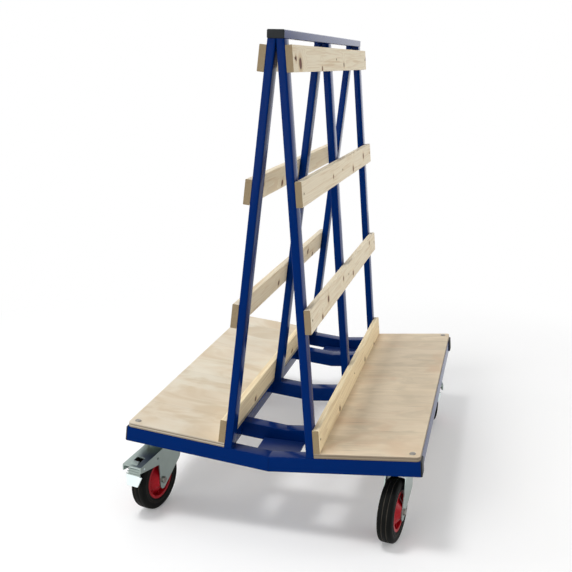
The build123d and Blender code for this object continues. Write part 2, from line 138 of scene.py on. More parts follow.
def size(name, description, millimetres):
    """A length on the panel, in metres."""
    return FloatProperty(name=name, description=description, subtype="DISTANCE", unit="LENGTH", min=0,
                         default=millimetres * MM)


def angle(name, description, degrees):
    """An angle on the panel."""
    return FloatProperty(name=name, description=description, subtype="ANGLE", default=radians(degrees))


def power(name, description, watts):
    """A lamp's power on the panel."""
    return FloatProperty(name=name, description=description, subtype="POWER", min=0, default=watts)


class TrolleyFinish(bpy.types.PropertyGroup):
    """Colours of the trolley's materials."""
    paint: colour("Paint", "Powder coat on the steel frame", "#002768")
    pine: colour("Pine", "Early wood of the battens", "#ECE0C6")
    # Foot pine is lighter and yellower than the pine: the extra lightness is painted light, standing in for
    # light missing on the foot battens' outer faces
    pine_foot: colour("Foot pine", "Yellower early wood of the foot battens", "#FBE9C2")
    pine_ring: colour("Pine ring", "Late wood of the battens", "#C4A273")
    pine_end: colour("Pine end", "Sawn ends of the battens", "#826F50")
    knot: colour("Knot", "Heart of a knot in the pine", "#5F311E")
    knot_rim: colour("Knot rim", "Bark left round a knot", "#28130B")
    birch_left: colour("Left birch", "Face veneer of the left deck", "#E0D8C6")
    birch_right: colour("Right birch", "Browner face veneer of the right deck", "#E7D6BB")
    birch_grain: colour("Birch grain", "Darker streaks of the face veneer", "#D8C5A6")
    birch_cloud: colour("Birch cloud", "Greyer clouds of the face veneer", "#CDBDA2")
    birch_blush: colour("Birch blush", "Browner heartwood in the face veneer", "#D9BE9F")
    edge_left: colour("Left edge", "Sawn plies along the left deck's edges", "#BDB2A0")
    edge_right: colour("Right edge", "Sawn plies along the right deck's edges", "#968875")
    cross_ply: colour("Cross ply", "Cross plies along the decks' edges", "#6F6350")
    glue_line: colour("Glue line", "Joints and pores of the face veneer", "#8C7A60")
    zinc: colour("Zinc", "Bright zinc plate on the castors", "#A4B1AC")
    # The pedals' near-white zinc is a painted highlight, standing in for the bright reflection on their
    # treads
    pedal: colour("Pedals", "Freshly plated zinc on the brake pedals", "#E6F2F2")
    fastener: colour("Fasteners", "Plain zinc on bolts and nuts", "#8F8C86")
    # The screws' yellow zinc is darkened past its own tone with painted shade of the pockets they sit in
    screw: colour("Screws", "Yellow zinc on the wood screws", "#6E5330")
    rubber: colour("Rubber", "Solid rubber tyres", "#131413")
    dust: colour("Dust", "Dust in the tread's grooves", "#57514A")
    wheel: colour("Wheel", "Moulded wheel centres", "#B40F1F")
    cap: colour("Caps", "Moulded tube caps", "#11161A")


class TrolleyDetail(bpy.types.PropertyGroup):
    """Sizes of the details that the frame leaves to the finish."""
    edge: size("Edge", "Rounding of pressed and moulded edges", 0.7)
    timber_edge: size("Timber edge", "Rounding of the plywood's edges", 0.6)
    weld: size("Weld", "Width of a weld bead", 5.0)
    weld_pitch: size("Weld pitch", "Distance from one weld ripple to the next", 2.6)
    mitre: size("Mitre bead", "Width of the low bead on a rail's mitre", 2.4)
    groove: size("Tread groove", "Width of a groove in the tread", 2.8)
    groove_depth: size("Groove depth", "Depth of a groove in the tread", 2.2)
    screw_sink: size("Screw sink", "Depth of a screw head below the batten's face", 1.6)


class TrolleyStage(bpy.types.PropertyGroup):
    """Camera and light."""
    lens: FloatProperty(name="Lens", description=f"Focal length on a {SENSOR} mm sensor",
                        subtype="DISTANCE_CAMERA", default=56.27)
    yaw: angle("Yaw", "Camera turned left of straight ahead", 13.501)
    pitch: angle("Pitch", "Camera tipped down", 14.234)
    roll: angle("Roll", "Camera turned about its own axis", 1.266)
    eye: FloatVectorProperty(name="Eye", description="Camera's place", subtype="TRANSLATION",
                             default=(0.64086, -3.10822, 1.46405))
    key: power("Key", "Power of the high softbox", 145)
    front: power("Front", "Power of the low front panel", 52)
    side: power("Side", "Power of the right panel", 25)
    left: power("Left", "Power of the left panel", 25)
    rear: power("Rear", "Power of the panel behind", 45)
    surround: FloatProperty(name="Surround", description="Light from the white room", min=0, default=0.45)


def add_node(tree, kind, links=None, **settings):
    """Adds a node with its settings; links gives its inputs values, sockets or nodes.

    Names repeat, so a name means the first input in use that has it, and a node its first output in use.
    """
    node = tree.nodes.new(kind)
    for name, value in settings.items():
        setattr(node, name, value)
    for key, value in (links or {}).items():
        named = [s for s in node.inputs if s.enabled and s.name == key]
        socket = named[0] if named else node.inputs[key]
        if isinstance(value, bpy.types.Node):
            value = next(s for s in value.outputs if s.enabled)
        if isinstance(value, bpy.types.NodeSocket):
            tree.links.new(value, socket)
        else:
            socket.default_value = (*value, 1) if socket.type == "RGBA" else value
    return node


def start_material(name):
    """A new material, what adds a node to its empty tree, and the Object coordinates and normals to read."""
    material = bpy.data.materials.new(name)
    material.use_nodes = True
    material.node_tree.nodes.clear()
    add = partial(add_node, material.node_tree)
    place = add("ShaderNodeTexCoord").outputs
    return material, add, place["Object"], place["Normal"]


def end_material(material, tint, rough, relief, shine=0.5, metallic=0.0):
    """Closes a material with its shader; relief is a height, its strength and its depth in millimetres."""
    add = partial(add_node, material.node_tree)
    height, strength, depth = relief
    bump = add("ShaderNodeBump", {"Height": height, "Strength": strength, "Distance": depth * MM})
    shader = add("ShaderNodeBsdfPrincipled", {
        "Base Color": tint, "Roughness": rough, "Normal": bump, "Specular IOR Level": shine,
        "Metallic": metallic})
    add("ShaderNodeOutputMaterial", {"Surface": shader})
    return material


def stretched(add, where, lengths, move=(0, 0, 0), **texture):
    """Noise whose features have these lengths in millimetres along the axes."""
    scale = [1 / (length * MM) for length in lengths]
    drawn = add("ShaderNodeMapping", {"Vector": where, "Location": move, "Scale": scale})
    return add("ShaderNodeTexNoise", {"Vector": drawn, "Scale": 1.0, **texture})


def drifting(add, where, apart, detail, shade, dim, smooth, dull):
    """A noise of a size in millimetres, and the colour and the roughness that drift with it."""
    drift = add("ShaderNodeTexNoise", {"Vector": where, "Scale": 1 / (apart * MM), "Detail": detail})
    deep = [dim * part for part in shade]
    tint = add("ShaderNodeMix", {"Factor": drift, "A": deep, "B": shade}, data_type="RGBA")
    rough = add("ShaderNodeMapRange", {"Value": drift, "To Min": smooth, "To Max": dull})
    return drift, tint, rough


def powder_coated_steel(name, paint, smooth, dull, shine):
    """Blue powder coat baked on steel: a smooth skin with a faint orange peel and slight drifts of depth."""
    material, add, where, _ = start_material(name)
    _, tint, rough = drifting(add, where, 140, 2.0, paint, 0.86, smooth, dull)
    # Orange peel of about 1.5 mm, drawn at 5 mm so that it shows
    peel = add("ShaderNodeTexNoise", {"Vector": where, "Scale": 1 / (5 * MM), "Detail": 1.0})
    return end_material(material, tint, rough, (peel, 0.05, 0.3), shine)


def knot_distance(add, where):
    """Distance to the nearest knot, in knot radii.

    A knot runs right through its batten, and the left side has the right side's knots turned end for end.
    """
    origin = Vector(MOUNTS["right_batten_face"]["pos_m"])
    rise = UPWARD["right"]
    place = add("ShaderNodeSeparateXYZ", {"Vector": where}).outputs
    side = add("ShaderNodeMath", {0: place["X"]}, operation="SIGN")
    out = add("ShaderNodeMath", {0: place["X"], 1: side}, operation="MULTIPLY")
    along = add("ShaderNodeMath", {0: place["Y"], 1: side}, operation="MULTIPLY")
    lean = add("ShaderNodeMath", {0: out, 1: rise.x / rise.z, 2: place["Z"]}, operation="MULTIPLY_ADD")
    height = add("ShaderNodeMath", {0: lean, 1: rise.z}, operation="MULTIPLY")
    flat = add("ShaderNodeCombineXYZ", {"X": along, "Y": height})
    nearest = None
    for run, up, radius in KNOTS:
        centre = (origin.y + run * MM, origin.dot(rise) + up * MM, 0)
        gap = add("ShaderNodeVectorMath", {0: flat, 1: centre}, operation="DISTANCE")
        radii = add("ShaderNodeMath", {0: gap, 1: radius * MM}, operation="DIVIDE")
        if nearest:
            radii = add("ShaderNodeMath", {0: nearest, 1: radii}, operation="MINIMUM")
        nearest = radii
    return nearest


def planed_pine(finish, board):
    """Planed pine: pale early wood, thin amber rings that bend round dark knots, and browner sawn ends."""
    material, add, where, facing = start_material(f"planed_{board}")
    noise = {}
    for name, (wide, long, detail) in PINE_NOISES.items():
        noise[name] = stretched(add, where, (wide, long, wide), Detail=detail)
    # What each feature follows, where it starts and is full, and its share there; round a knot in knot radii
    nearest = knot_distance(add, where)
    share = {}
    for name, source, start, full, most in (
            ("knot", nearest, 1.15, 0.8, 1.0), ("heart", nearest, 0.95, 0.55, 1.0),
            ("halo", nearest, 2.6, 1.0, 0.6), ("swirl", nearest, 6.0, 0.5, 0.14),
            ("streak", noise["resin"], 0.5, 0.74, 0.5)):
        limits = {"Value": source, "From Min": start, "From Max": full, "To Max": most}
        share[name] = add("ShaderNodeMapRange", limits, interpolation_type="SMOOTHSTEP")
    # Rings are contours of a slow noise, 22 over its range, about 9 mm apart, that bend round the knots
    bent = add("ShaderNodeMath", {0: noise["rings"], 1: share["swirl"]}, operation="ADD")
    rings = add("ShaderNodeMath", {0: bent, 1: 22.0}, operation="MULTIPLY")
    late = add("ShaderNodeMath", {0: rings}, operation="FRACT")
    line = add("ShaderNodeMapRange", {"Value": late, "From Min": 0.5, "From Max": 0.98, "To Max": 0.3},
               interpolation_type="SMOOTHSTEP")
    # The late wood, the resin streaks and a ring round each knot are amber
    streaked = add("ShaderNodeMath", {0: line, 1: share["streak"]}, operation="MAXIMUM")
    amber = add("ShaderNodeMath", {0: streaked, 1: share["halo"]}, operation="MAXIMUM")
    across = add("ShaderNodeSeparateXYZ", {"Vector": facing}).outputs["Y"]
    turned = add("ShaderNodeMath", {0: across}, operation="ABSOLUTE")
    at_end = add("ShaderNodeMapRange", {"Value": turned, "From Min": 0.6, "From Max": 0.9, "To Max": 0.9})
    wood = getattr(finish, board)
    for cover, shade in ((amber, finish.pine_ring), (at_end, finish.pine_end)):
        wood = add("ShaderNodeMix", {"Factor": cover, "A": wood, "B": shade}, data_type="RGBA")
    fine = add("ShaderNodeMapRange", {"Value": noise["fibres"], "To Min": 0.90, "To Max": 1.07})
    haired = add("ShaderNodeVectorMath", {0: wood, "Scale": fine}, operation="SCALE")
    core = add("ShaderNodeMix", {"Factor": share["heart"], "A": finish.knot_rim, "B": finish.knot},
               data_type="RGBA")
    knotted = add("ShaderNodeMix", {"Factor": share["knot"], "A": haired, "B": core}, data_type="RGBA")
    rough = add("ShaderNodeMapRange", {"Value": line, "To Min": 0.68, "To Max": 0.55})
    return end_material(material, knotted, rough, (fine, 0.25, 0.3), 0.25)


def birch_plywood(finish, side):
    """Sanded birch plywood: veneer sheets laid across the deck, and striped plies along its edges."""
    material, add, where, facing = start_material(f"birch_plywood_{side}")
    # Depth in the sheet, measured square to the sloping deck
    lean = UPWARD[side]
    top = Vector(MOUNTS[f"{side}_deck_top"]["pos_m"]).dot(lean)
    level = add("ShaderNodeVectorMath", {0: where, 1: lean}, operation="DOT_PRODUCT")
    depth = add("ShaderNodeMath", {0: top, 1: level}, operation="SUBTRACT")
    # Plies of about 2 mm in light and dark pairs, drawn at 7.5 mm a pair so that they show
    ply = add("ShaderNodeMath", {0: depth, 1: 1 / (7.5 * MM)}, operation="MULTIPLY")
    turn = add("ShaderNodeMath", {0: ply}, operation="FRACT")
    dark = add("ShaderNodeMapRange", {"Value": turn, "From Min": 0.45, "From Max": 0.55, "To Max": 0.75})
    plain = getattr(finish, f"edge_{side}")
    edge = add("ShaderNodeMix", {"Factor": dark, "A": plain, "B": finish.cross_ply}, data_type="RGBA")
    # Face veneer in sheets about 330 mm wide, each of its own shade, with a thin joint between them
    run = add("ShaderNodeSeparateXYZ", {"Vector": where}).outputs["Y"]
    along = add("ShaderNodeMath", {0: run, 1: 1 / (330 * MM), 2: 0.31}, operation="MULTIPLY_ADD")
    sheet = add("ShaderNodeMath", {0: along}, operation="FLOOR")
    chance = add("ShaderNodeTexWhiteNoise", {"W": sheet}, noise_dimensions="1D")
    place = add("ShaderNodeMath", {0: along}, operation="FRACT")
    off_middle = add("ShaderNodeMath", {0: place, 1: 0.5}, operation="SUBTRACT")
    from_middle = add("ShaderNodeMath", {0: off_middle}, operation="ABSOLUTE")
    joint = add("ShaderNodeMapRange",
                {"Value": from_middle, "From Min": 0.4965, "From Max": 0.4995, "To Max": 0.35})
    apart = add("ShaderNodeVectorMath", {0: where, 1: chance.outputs["Color"]}, operation="ADD")
    # Rotary cut veneer shows clouds where the knife ran through the growth rings, and heartwood blushes in
    # patches. Pores of about 0.3 mm are drawn at 5 mm so that they show. From the ground up each layer has
    # what it reads, length and width in millimetres, shift, detail, roughness and distortion, where it
    # starts and is full with its share there, and its colour
    long, shift, clouds, blush, streaks, pores = VENEER[side]
    still = (0.0, 0.0, 0.0)
    layers = {
        "clouds": (where, long, long / 2, shift, (3.0, 0.55, 0.9), (0.4, 0.66, clouds), finish.birch_cloud),
        "blush": (where, 260, 190, (3.1, 1.7, 0), (3.0, 0.5, 0.8), (0.42, 0.62, blush), finish.birch_blush),
        "grain": (apart, 420, 26, still, (5.0, 0.55, 0.6), (0.4, 0.72, streaks), finish.birch_grain),
        "pores": (apart, 240, 5, still, (2.0, 0.5, 0.0), (0.62, 0.8, pores), finish.glue_line),
    }
    noise = {}
    veneer = getattr(finish, f"birch_{side}")
    for name, (source, long, wide, move, texture, (start, full, most), shade) in layers.items():
        detail, rough, twist = texture
        noise[name] = stretched(add, source, (long, wide, 1000), move, Detail=detail, Roughness=rough,
                                Distortion=twist)
        limits = {"Value": noise[name], "From Min": start, "From Max": full, "To Max": most}
        cover = add("ShaderNodeMapRange", limits, interpolation_type="SMOOTHSTEP")
        veneer = add("ShaderNodeMix", {"Factor": cover, "A": veneer, "B": shade}, data_type="RGBA")
    light = add("ShaderNodeMapRange", {"Value": chance, "To Min": 0.94, "To Max": 1.03})
    sheeted = add("ShaderNodeVectorMath", {0: veneer, "Scale": light}, operation="SCALE")
    face = add("ShaderNodeMix", {"Factor": joint, "A": sheeted, "B": finish.glue_line}, data_type="RGBA")
    upright = add("ShaderNodeSeparateXYZ", {"Vector": facing}).outputs["Z"]
    flat = add("ShaderNodeMath", {0: upright}, operation="ABSOLUTE")
    on_face = add("ShaderNodeMapRange", {"Value": flat, "From Min": 0.5, "From Max": 0.75})
    whole = add("ShaderNodeMix", {"Factor": on_face, "A": edge, "B": face}, data_type="RGBA")
    return end_material(material, whole, 0.62, (noise["grain"], 0.12, 0.3), 0.25)


def zinc_plated_steel(name, shade, polish):
    """Electroplated zinc on steel: a clear metal sheen, cloudy in patches, with fine rolling marks."""
    material, add, where, _ = start_material(name)
    _, tint, rough = drifting(add, where, 35, 3.0, shade, 0.82, polish, polish + 0.14)
    # Rolling marks of about 0.2 mm, drawn at 1.2 mm so that they show
    marks = stretched(add, where, (1.2, 1.2, 30), Detail=2.0)
    return end_material(material, tint, rough, (marks, 0.02, 0.2), metallic=1.0)


def moulded(name, shade, grit, gloss, depth, shine, dust=None):
    """A moulded polymer: a slow drift of colour, a fine grain left by the mould, and dust in its grooves."""
    material, add, where, _ = start_material(name)
    drift, tint, rough = drifting(add, where, 30, 2.0, shade, 0.78, gloss - 0.06, gloss + 0.08)
    if dust:
        groove = add("ShaderNodeAttribute", attribute_name="groove").outputs["Fac"]
        settled = add("ShaderNodeMapRange",
                      {"Value": drift, "From Min": 0.25, "From Max": 0.7, "To Min": 0.35, "To Max": 1.0})
        share = add("ShaderNodeMath", {0: groove, 1: settled}, operation="MULTIPLY")
        tint = add("ShaderNodeMix", {"Factor": share, "A": tint, "B": dust}, data_type="RGBA")
    grain = add("ShaderNodeTexNoise", {"Vector": where, "Scale": 1 / (grit * MM), "Detail": 2.0})
    return end_material(material, tint, rough, (grain, depth, 0.2), shine)


@cache
def materials():
    """Every material of the trolley by its finish, made once."""
    finish = bpy.context.scene.trolley_finish
    return {
        # Polyester powder reflects little square on; over the mill scale of rolled plate it bakes duller
        "paint": powder_coated_steel("powder_coated_steel", finish.paint, 0.11, 0.17, 0.025),
        "plate": powder_coated_steel("powder_coated_plate", finish.paint, 0.42, 0.5, 0.5),
        # The foot battens' pine is a lighter copy of the pine, with painted light
        **{board: planed_pine(finish, board) for board in ("pine", "pine_foot")},
        **{f"ply_{side}": birch_plywood(finish, side) for side in SIDES},
        "zinc": zinc_plated_steel("bright_zinc_plate", finish.zinc, 0.24),
        # The pedals' lighter zinc is a painted highlight
        "pedal": zinc_plated_steel("fresh_zinc_plate", finish.pedal, 0.34),
        "fastener": zinc_plated_steel("plain_zinc_plate", finish.fastener, 0.42),
        # The screws' zinc is yellow, and darkened with painted shade
        "screw": zinc_plated_steel("yellow_zinc_plate", finish.screw, 0.35),
        # Vulcanised rubber is dull and slightly dusty, polypropylene has a waxy gloss, polyethylene less
        "rubber": moulded("vulcanised_rubber", finish.rubber, 1.6, 0.52, 0.2, 0.05, finish.dust),
        "wheel": moulded("moulded_polypropylene", finish.wheel, 2.5, 0.32, 0.1, 0.16),
        "cap": moulded("moulded_polyethylene", finish.cap, 1.2, 0.48, 0.2, 0.2),
    }


def merged(node):
    """A CAD node's mesh as a bmesh with its corners merged and its flat faces whole."""
    shape = bmesh.new()
    shape.from_mesh(frame["nodes"][node].data)
    bmesh.ops.remove_doubles(shape, verts=shape.verts, dist=0.02 * MM)
    bmesh.ops.dissolve_limit(shape, angle_limit=radians(0.6), verts=shape.verts, edges=shape.edges)
    return shape


def islands(node):
    """The corners of each separate solid in a CAD node, the solids in the mesh's own order."""
    shape = merged(node)
    seen = set()
    found = []
    for first in shape.verts:
        front = [first]
        solid = []
        while front:
            corner = front.pop()
            if corner not in seen:
                seen.add(corner)
                solid.append(corner.co.copy())
                front += [edge.other_vert(corner) for edge in corner.link_edges]
        if solid:
            found.append(solid)
    shape.free()
    return found


def span(points, axis):
    """Lowest and highest place of some points along an axis."""
    places = [p.dot(axis) for p in points]
    return min(places), max(places)


def middle(points):
    """Centre of the box round some points."""
    return Vector(sum(span(points, axis)) / 2 for axis in Matrix.Identity(3))


def around(row):
    """Each item of a closed row with the next."""
    return zip(row, row[1:] + row[:1])


def band(shape, low, high):
    """Adds the faces between two closed rows of corners."""
    for (a, b), (c, d) in zip(around(low), around(high)):
        shape.faces.new((a, b, d, c))


def new_object(name, mesh):
    """A linked object at the origin."""
    made = bpy.data.objects.new(name, mesh)
    bpy.context.scene.collection.objects.link(made)
    return made


def mesh_of(name, shape, sharp):
    """A plain mesh from a bmesh, smooth below the sharp angle, without the CAD mesh's own normals."""
    shape.verts.index_update()
    corners = [v.co.copy() for v in shape.verts]
    faces = [[v.index for v in face.verts] for face in shape.faces]
    shape.free()
    mesh = bpy.data.meshes.new(name)
    mesh.from_pydata(corners, [], faces)
    mesh.shade_smooth()
    mesh.set_sharp_from_angle(angle=radians(sharp))
    return mesh


def settle(piece, body, slot, material, *nodes):
    """Gives a finished piece its material, and lets it ride in place of its CAD nodes; slot is not used."""
    piece.data.materials.clear()
    piece.data.materials.append(material)
    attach(piece, body)
    if nodes:
        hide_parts(*nodes)


def ease(piece, edge, sharp):
    """Rounds a piece's edges past the sharp angle."""
    bevel = piece.modifiers.new("edges", "BEVEL")
    bevel.width = edge
    bevel.segments = 2
    bevel.limit_method = "ANGLE"
    bevel.angle_limit = radians(sharp)


def dress(node, slot, material, edge=0.0, sharp=50.0):
    """Stands a copy of a CAD node with merged corners, rounded edges and even shading in for it."""
    piece = new_object(f"{node}_finished", mesh_of(node, merged(node), sharp))
    if edge:
        ease(piece, edge, sharp)
    piece.modifiers.new("shading", "WEIGHTED_NORMAL").keep_sharp = True
    settle(piece, frame["nodes"][node]["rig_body"], slot, material, node)


def lathe(name, profile, centre, axle, steps):
    """Turns a closed profile of (offset along the axle, radius, groove share) points about an axle."""
    side = axle.orthogonal().normalized()
    lift = axle.cross(side)
    shape = bmesh.new()
    rows = []
    for step in range(steps):
        turn = 2 * pi * step / steps
        out = cos(turn) * side + sin(turn) * lift
        places = [centre + offset * axle + radius * out for offset, radius, _ in profile]
        rows.append([shape.verts.new(place) for place in places])
    for here, there in around(rows):
        for (a, b), (c, d) in zip(around(here), around(there)):
            shape.faces.new((a, c, d, b))
    bmesh.ops.recalc_face_normals(shape, faces=shape.faces)
    mesh = mesh_of(name, shape, 35)
    groove = mesh.attributes.new("groove", "FLOAT", "POINT")
    groove.data.foreach_set("value", [share for _, _, share in profile] * steps)
    return mesh


def start_tree(name, **inputs):
    """A Geometry Nodes tree with a carrier mesh and these inputs, what adds a node to it, and its inputs."""
    tree = bpy.data.node_groups.new(name, "GeometryNodeTree")
    for title, kind in (("Geometry", "Geometry"), *inputs.items()):
        tree.interface.new_socket(title, in_out="INPUT", socket_type=f"NodeSocket{kind}")
    tree.interface.new_socket("Geometry", in_out="OUTPUT", socket_type="NodeSocketGeometry")
    add = partial(add_node, tree)
    return tree, add, add("NodeGroupInput").outputs


@cache
def repeat_tree():
    """Nodes that set a form on every point, turned to the point's own facing and spun at random."""
    tree, add, start = start_tree("repeat_on_points", Form="Object", Spin="Float", Seed="Int",
                                  Finish="Material")
    form = add("GeometryNodeObjectInfo", {"Object": start["Form"]}).outputs["Geometry"]
    facing = add("GeometryNodeInputNamedAttribute", {"Name": "facing"}, data_type="FLOAT_VECTOR")
    aim = add("FunctionNodeAlignRotationToVector", {"Vector": facing}, axis="Z")
    spin = add("FunctionNodeRandomValue", {"Min": 0.0, "Max": start["Spin"], "Seed": start["Seed"]},
               data_type="FLOAT")
    about = add("FunctionNodeAxisAngleToRotation", {"Axis": UP, "Angle": spin})
    turned = add("FunctionNodeRotateRotation", {"Rotation": aim, "Rotate By": about}, rotation_space="LOCAL")
    copies = add("GeometryNodeInstanceOnPoints",
                 {"Points": start["Geometry"], "Instance": form, "Rotation": turned})
    whole = add("GeometryNodeRealizeInstances", {"Geometry": copies})
    coated = add("GeometryNodeSetMaterial", {"Geometry": whole, "Material": start["Finish"]})
    add("NodeGroupOutput", {0: coated})
    return tree


@cache
def weld_tree():
    """Nodes that lay overlapping ripples of weld metal along every edge of a path."""
    tree, add, start = start_tree("weld_beads", Pitch="Float", Width="Float", Seed="Int", Finish="Material")
    line = add("GeometryNodeMeshToCurve", {"Mesh": start["Geometry"]})
    steps = add("GeometryNodeResampleCurve", {"Curve": line, "Length": start["Pitch"]}, mode="LENGTH")
    places = add("GeometryNodeCurveToPoints", {"Curve": steps}, mode="EVALUATED")
    half = add("ShaderNodeMath", {0: start["Width"], 1: 0.5}, operation="MULTIPLY")
    ripple = add("GeometryNodeMeshIcoSphere", {"Radius": half, "Subdivisions": 2})
    vary = add("FunctionNodeRandomValue", {"Min": 0.82, "Max": 1.12, "Seed": start["Seed"]},
               data_type="FLOAT")
    copies = add("GeometryNodeInstanceOnPoints", {"Points": places, "Instance": ripple, "Scale": vary})
    whole = add("GeometryNodeRealizeInstances", {"Geometry": copies})
    smooth = add("GeometryNodeSetShadeSmooth", {"Geometry": whole})
    coated = add("GeometryNodeSetMaterial", {"Geometry": smooth, "Material": start["Finish"]})
    add("NodeGroupOutput", {0: coated})
    return tree


def grow(name, carrier, tree, **inputs):
    """Runs a tree on a carrier mesh and keeps the result as a plain mesh object."""
    piece = new_object(name, carrier)
    modifier = piece.modifiers.new("nodes", "NODES")
    modifier.node_group = tree
    sockets = {item.name: item.identifier for item in tree.interface.items_tree if item.in_out == "INPUT"}
    for key, value in inputs.items():
        modifier[sockets[key]] = value
    bpy.context.view_layer.update()
    solved = piece.evaluated_get(bpy.context.evaluated_depsgraph_get())
    mesh = bpy.data.meshes.new_from_object(solved)
    piece.modifiers.remove(modifier)
    piece.data = mesh
    mesh.name = name
    return piece


def fasten(name, node, form, places, finish, spin=0.0, seed=1):
    """Copies a form to (place, direction) pairs as one mesh that stands in for a CAD node of the frame."""
    points = bpy.data.meshes.new(name)
    points.from_pydata([place for place, _ in places], [], [])
    facing = points.attributes.new("facing", "FLOAT_VECTOR", "POINT")
    for item, (_, direction) in zip(facing.data, places):
        item.vector = direction
    source = new_object(f"{name}_form", form)
    piece = grow(name, points, repeat_tree(), Form=source, Spin=spin, Seed=seed, Finish=finish)
    bpy.data.objects.remove(source)
    settle(piece, "frame", "fastener_zinc", finish, node)


def rings_form(rings, sides, shape=None):
    """A form on the Z axis from (radius, height) rings, closed at both ends, in a new or a given shape."""
    shape = shape or bmesh.new()
    turns = [2 * pi * i / sides for i in range(sides)]
    loops = [[shape.verts.new((radius * cos(turn), radius * sin(turn), height)) for turn in turns]
             for radius, height in rings]
    for low, high in zip(loops, loops[1:]):
        band(shape, low, high)
    shape.faces.new(list(reversed(loops[0])))
    shape.faces.new(loops[-1])
    return shape


def hex_form(name, flats, high):
    """A chamfered hexagon head on a round washer face, standing on height 0."""
    washer = 0.62 * flats
    corner = flats / 2 / cos(pi / 6)
    face = 0.12 * high
    shape = rings_form([(washer, 0), (washer, face)], 24)
    rings_form([(corner, face), (corner, 0.84 * high), (0.87 * corner, high)], 6, shape)
    return mesh_of(name, shape, 30)


def screw_form(radius, deep):
    """A countersunk screw head, its top at height 0, with a cross recess."""
    shape = rings_form([(0.55 * radius, -deep), (radius, -0.15 * deep), (0.94 * radius, 0)], 24)
    blade = 0.14 * radius
    reach = 0.55 * radius
    top = max(shape.faces, key=lambda face: face.calc_center_median().z)
    shape.faces.remove(top)
    rim = [v for v in shape.verts if abs(v.co.z) < 1e-9]
    cross = []
    for quarter in range(4):
        turn = Matrix.Rotation(pi / 2 * quarter, 3, "Z")
        for x, y in ((blade, -blade), (reach, -blade), (reach, blade)):
            cross.append(turn @ Vector((x, y, 0)))
    mouth = [shape.verts.new(point) for point in cross]
    floor = [shape.verts.new(point * 0.7 - 0.5 * deep * UP) for point in cross]
    edges = [shape.edges.new(pair) for pair in around(mouth)]
    ring = [shape.edges.get(pair) for pair in around(rim)]
    bmesh.ops.triangle_fill(shape, edges=edges + ring, use_beauty=True)
    band(shape, mouth, floor)
    shape.faces.new(floor)
    bmesh.ops.recalc_face_normals(shape, faces=shape.faces)
    return mesh_of("screw", shape, 30)


def leg_feet():
    """The lines along both faces of each leg's foot, where it is welded to its deck rail."""
    bare_end = 3 * MM
    lines = []
    for side in SIDES:
        up = UPWARD[side]
        out = OUTWARD[side]
        for name in ("front_leg", "middle_leg", "rear_leg"):
            solid = islands(f"{name}_{side}")[0]
            foot, _ = span(solid, up)
            front, rear = span(solid, ALONG)
            for face in span(solid, out):
                place = foot * up + face * out
                lines.append([place + y * ALONG for y in (front + bare_end, rear - bare_end)])
    return lines


def rail_mitres():
    """The line on the outer face of the front and of the rear rail where its two halves meet."""
    close = 0.5 * MM
    lines = []
    for node, outermost in (("front_rail_left", min), ("rear_rail_left", max)):
        seam = [p for p in islands(node)[0] if abs(p.x) < close]
        face = outermost(p.y for p in seam)
        ends = span([p for p in seam if abs(p.y - face) < close], UP)
        lines.append([Vector((0, face, z)) for z in ends])
    return lines


def wire(name, lines):
    """A mesh of separate straight lines, each given by its two ends."""
    mesh = bpy.data.meshes.new(name)
    ends = [end for line in lines for end in line]
    mesh.from_pydata(ends, [(i, i + 1) for i in range(0, len(ends), 2)], [])
    return mesh


class TROLLEY_OT_frame(bpy.types.Operator):
    """Paints the steel frame and lays its weld beads"""
    bl_idname = "trolley.frame"
    bl_label = "Steel frame"

    def execute(self, context):
        finish = materials()
        paint = finish["paint"]
        detail = context.scene.trolley_detail
        for node in TUBES:
            dress(node, "blue_paint", finish["plate"] if node.endswith("gusset_plate") else paint)
        runs = (("weld_beads", leg_feet(), detail.weld), ("mitre_beads", rail_mitres(), detail.mitre))
        for name, lines, width in runs:
            pitch = detail.weld_pitch * width / detail.weld
            path = wire(f"{name}_path", lines)
            beads = grow(name, path, weld_tree(), Pitch=pitch, Width=width, Seed=4, Finish=paint)
            settle(beads, "frame", "blue_paint", paint)
        return {"FINISHED"}


class TROLLEY_OT_caps(bpy.types.Operator):
    """Gives the tube caps their moulded finish"""
    bl_idname = "trolley.caps"
    bl_label = "Tube caps"

    def execute(self, context):
        for node in ("rail_end_caps", "top_bar_caps"):
            dress(node, "black_cap", materials()["cap"])
        return {"FINISHED"}


class TROLLEY_OT_timber(bpy.types.Operator):
    """Finishes the plywood decks and the pine battens"""
    bl_idname = "trolley.timber"
    bl_label = "Decks and battens"

    def execute(self, context):
        edge = context.scene.trolley_detail.timber_edge
        for side in SIDES:
            dress(f"deck_{side}", "plywood", materials()[f"ply_{side}"], edge)
        for node in BATTENS:
            # Foot battens take the lighter pine, whose extra lightness is painted light
            dress(node, "pine", materials()["pine_foot" if node.startswith("foot") else "pine"])
        return {"FINISHED"}


